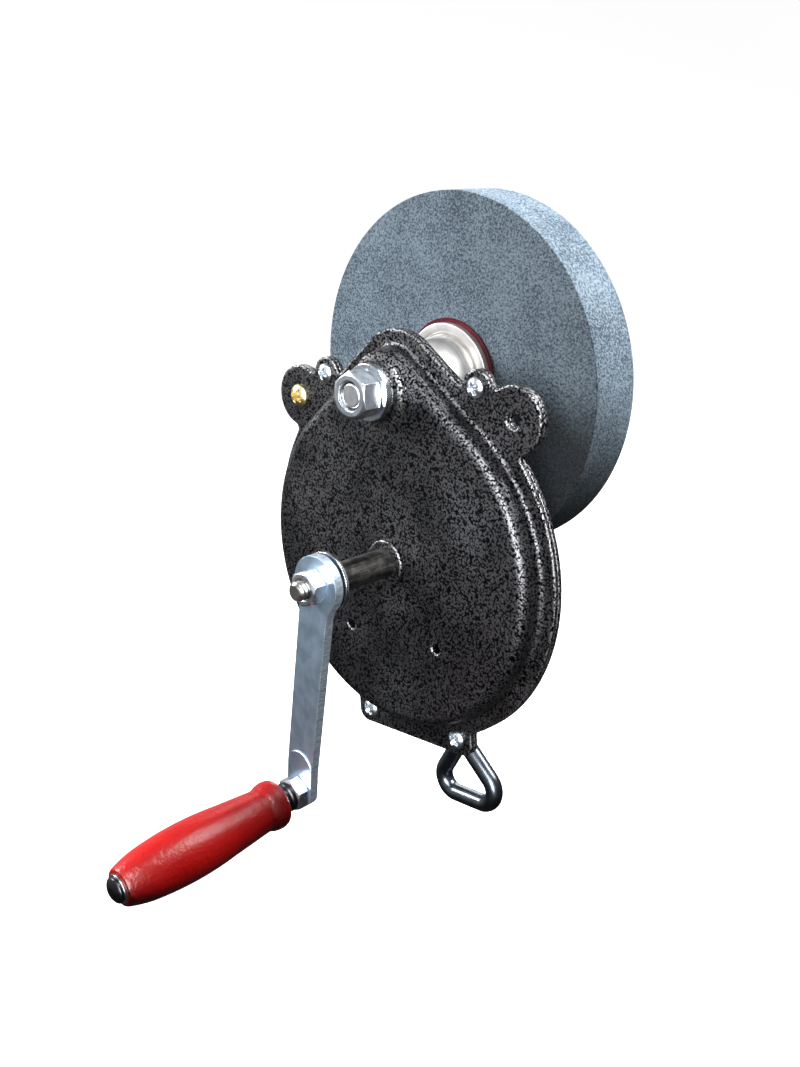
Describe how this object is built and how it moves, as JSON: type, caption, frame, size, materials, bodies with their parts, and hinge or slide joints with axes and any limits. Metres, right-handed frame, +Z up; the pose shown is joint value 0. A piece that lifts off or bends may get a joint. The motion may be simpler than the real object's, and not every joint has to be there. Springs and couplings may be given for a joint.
{
  "type": "hand crank bench grinder",
  "caption": "Hand cranked bench grinder: grey abrasive wheel driven through a geared pear shaped steel housing by a crank with a red wooden handle, held to a bench edge by a screw clamp.",
  "frame": {"origin": "centre of the upper jaw's seat on the bench top, straight above the clamp screw axis", "axes": "+Z up, +Y from the crank towards the wheel and over the bench, +X to the right of the person who turns the crank"},
  "size_m": [0.157, 0.2174, 0.2742],
  "materials": {
    "housing_paint": "charcoal hammer finish enamel, semi gloss",
    "cast_paint": "black painted casting",
    "bronze": "oiled bearing bronze",
    "dark_steel": "oiled dark steel",
    "zinc": "bright zinc plating",
    "brass": "yellow passivated",
    "black_steel": "blackened steel, oiled",
    "gear_iron": "machined grey iron",
    "steel": "turned steel",
    "red_wood": "glossy red lacquer",
    "blotter_paper": "dark red compressible paper",
    "abrasive": "rough grey vitrified abrasive, opaque"
  },
  "bodies": {
    "housing": {"front_housing": "housing_paint", "rear_housing": "housing_paint", "front_spindle_bush": "bronze", "rear_spindle_bush": "bronze", "front_crank_bush": "dark_steel", "rear_crank_bush": "bronze", "lug_screws": "zinc", "lug_nuts": "zinc", "tab_screws": "zinc", "ear_screw": "brass", "ear_nut": "zinc", "clamp_bracket": "cast_paint", "bracket_screws": "black_steel"},
    "crank": {"crank_shaft": "black_steel", "drive_gear": "gear_iron", "gear_key": "steel", "crank_circlip": "black_steel", "crank_arm": "zinc", "crank_nut": "zinc", "crank_spring_washer": "black_steel", "crank_washer": "zinc", "handle_bolt": "black_steel", "handle_nut": "zinc", "handle_ferrule": "black_steel", "handle_ring": "zinc"},
    "handle": {"wooden_handle": "red_wood"},
    "wheel": {"pinion_spindle": "steel", "spindle_nut": "zinc", "spindle_washer": "zinc", "inner_flange": "steel", "front_blotter": "blotter_paper", "grinding_wheel": "abrasive", "rear_blotter": "blotter_paper", "outer_flange": "steel", "wheel_washer": "zinc", "wheel_nut": "zinc"},
    "pad": {"clamp_pad": "steel"},
    "screw": {"clamp_screw": "black_steel"}
  },
  "joints": [
    {"name": "crank_turn", "type": "hinge", "parent": "housing", "child": "crank", "pos_m": [0, -0.032, 0.02438], "axis": [0, 1, 0], "continuous": true},
    {"name": "wheel_spin", "type": "hinge", "parent": "housing", "child": "wheel", "pos_m": [0, -0.032, 0.095], "axis": [0, 1, 0], "continuous": true},
    {"name": "handle_spin", "type": "hinge", "parent": "crank", "child": "handle", "pos_m": [-0.02066, -0.083, -0.07037], "axis": [-0.0141, -0.9978, -0.0648], "continuous": true},
    {"name": "clamp_pad_travel", "type": "slide", "parent": "housing", "child": "pad", "axis": [0, 0, 1], "range_m": [-0.028, 0.01]},
    {"name": "clamp_screw_turn", "type": "hinge", "parent": "pad", "child": "screw", "pos_m": [0, 0, -0.04], "axis": [0, 0, 1], "range_deg": [-8066, 2882]}
  ],
  "couplings": [
    {"joint": "wheel_spin", "follows": "crank_turn", "ratio": -7.6923},
    {"joint": "clamp_screw_turn", "follows": "clamp_pad_travel", "rad_per_m": 5026.5}
  ]
}
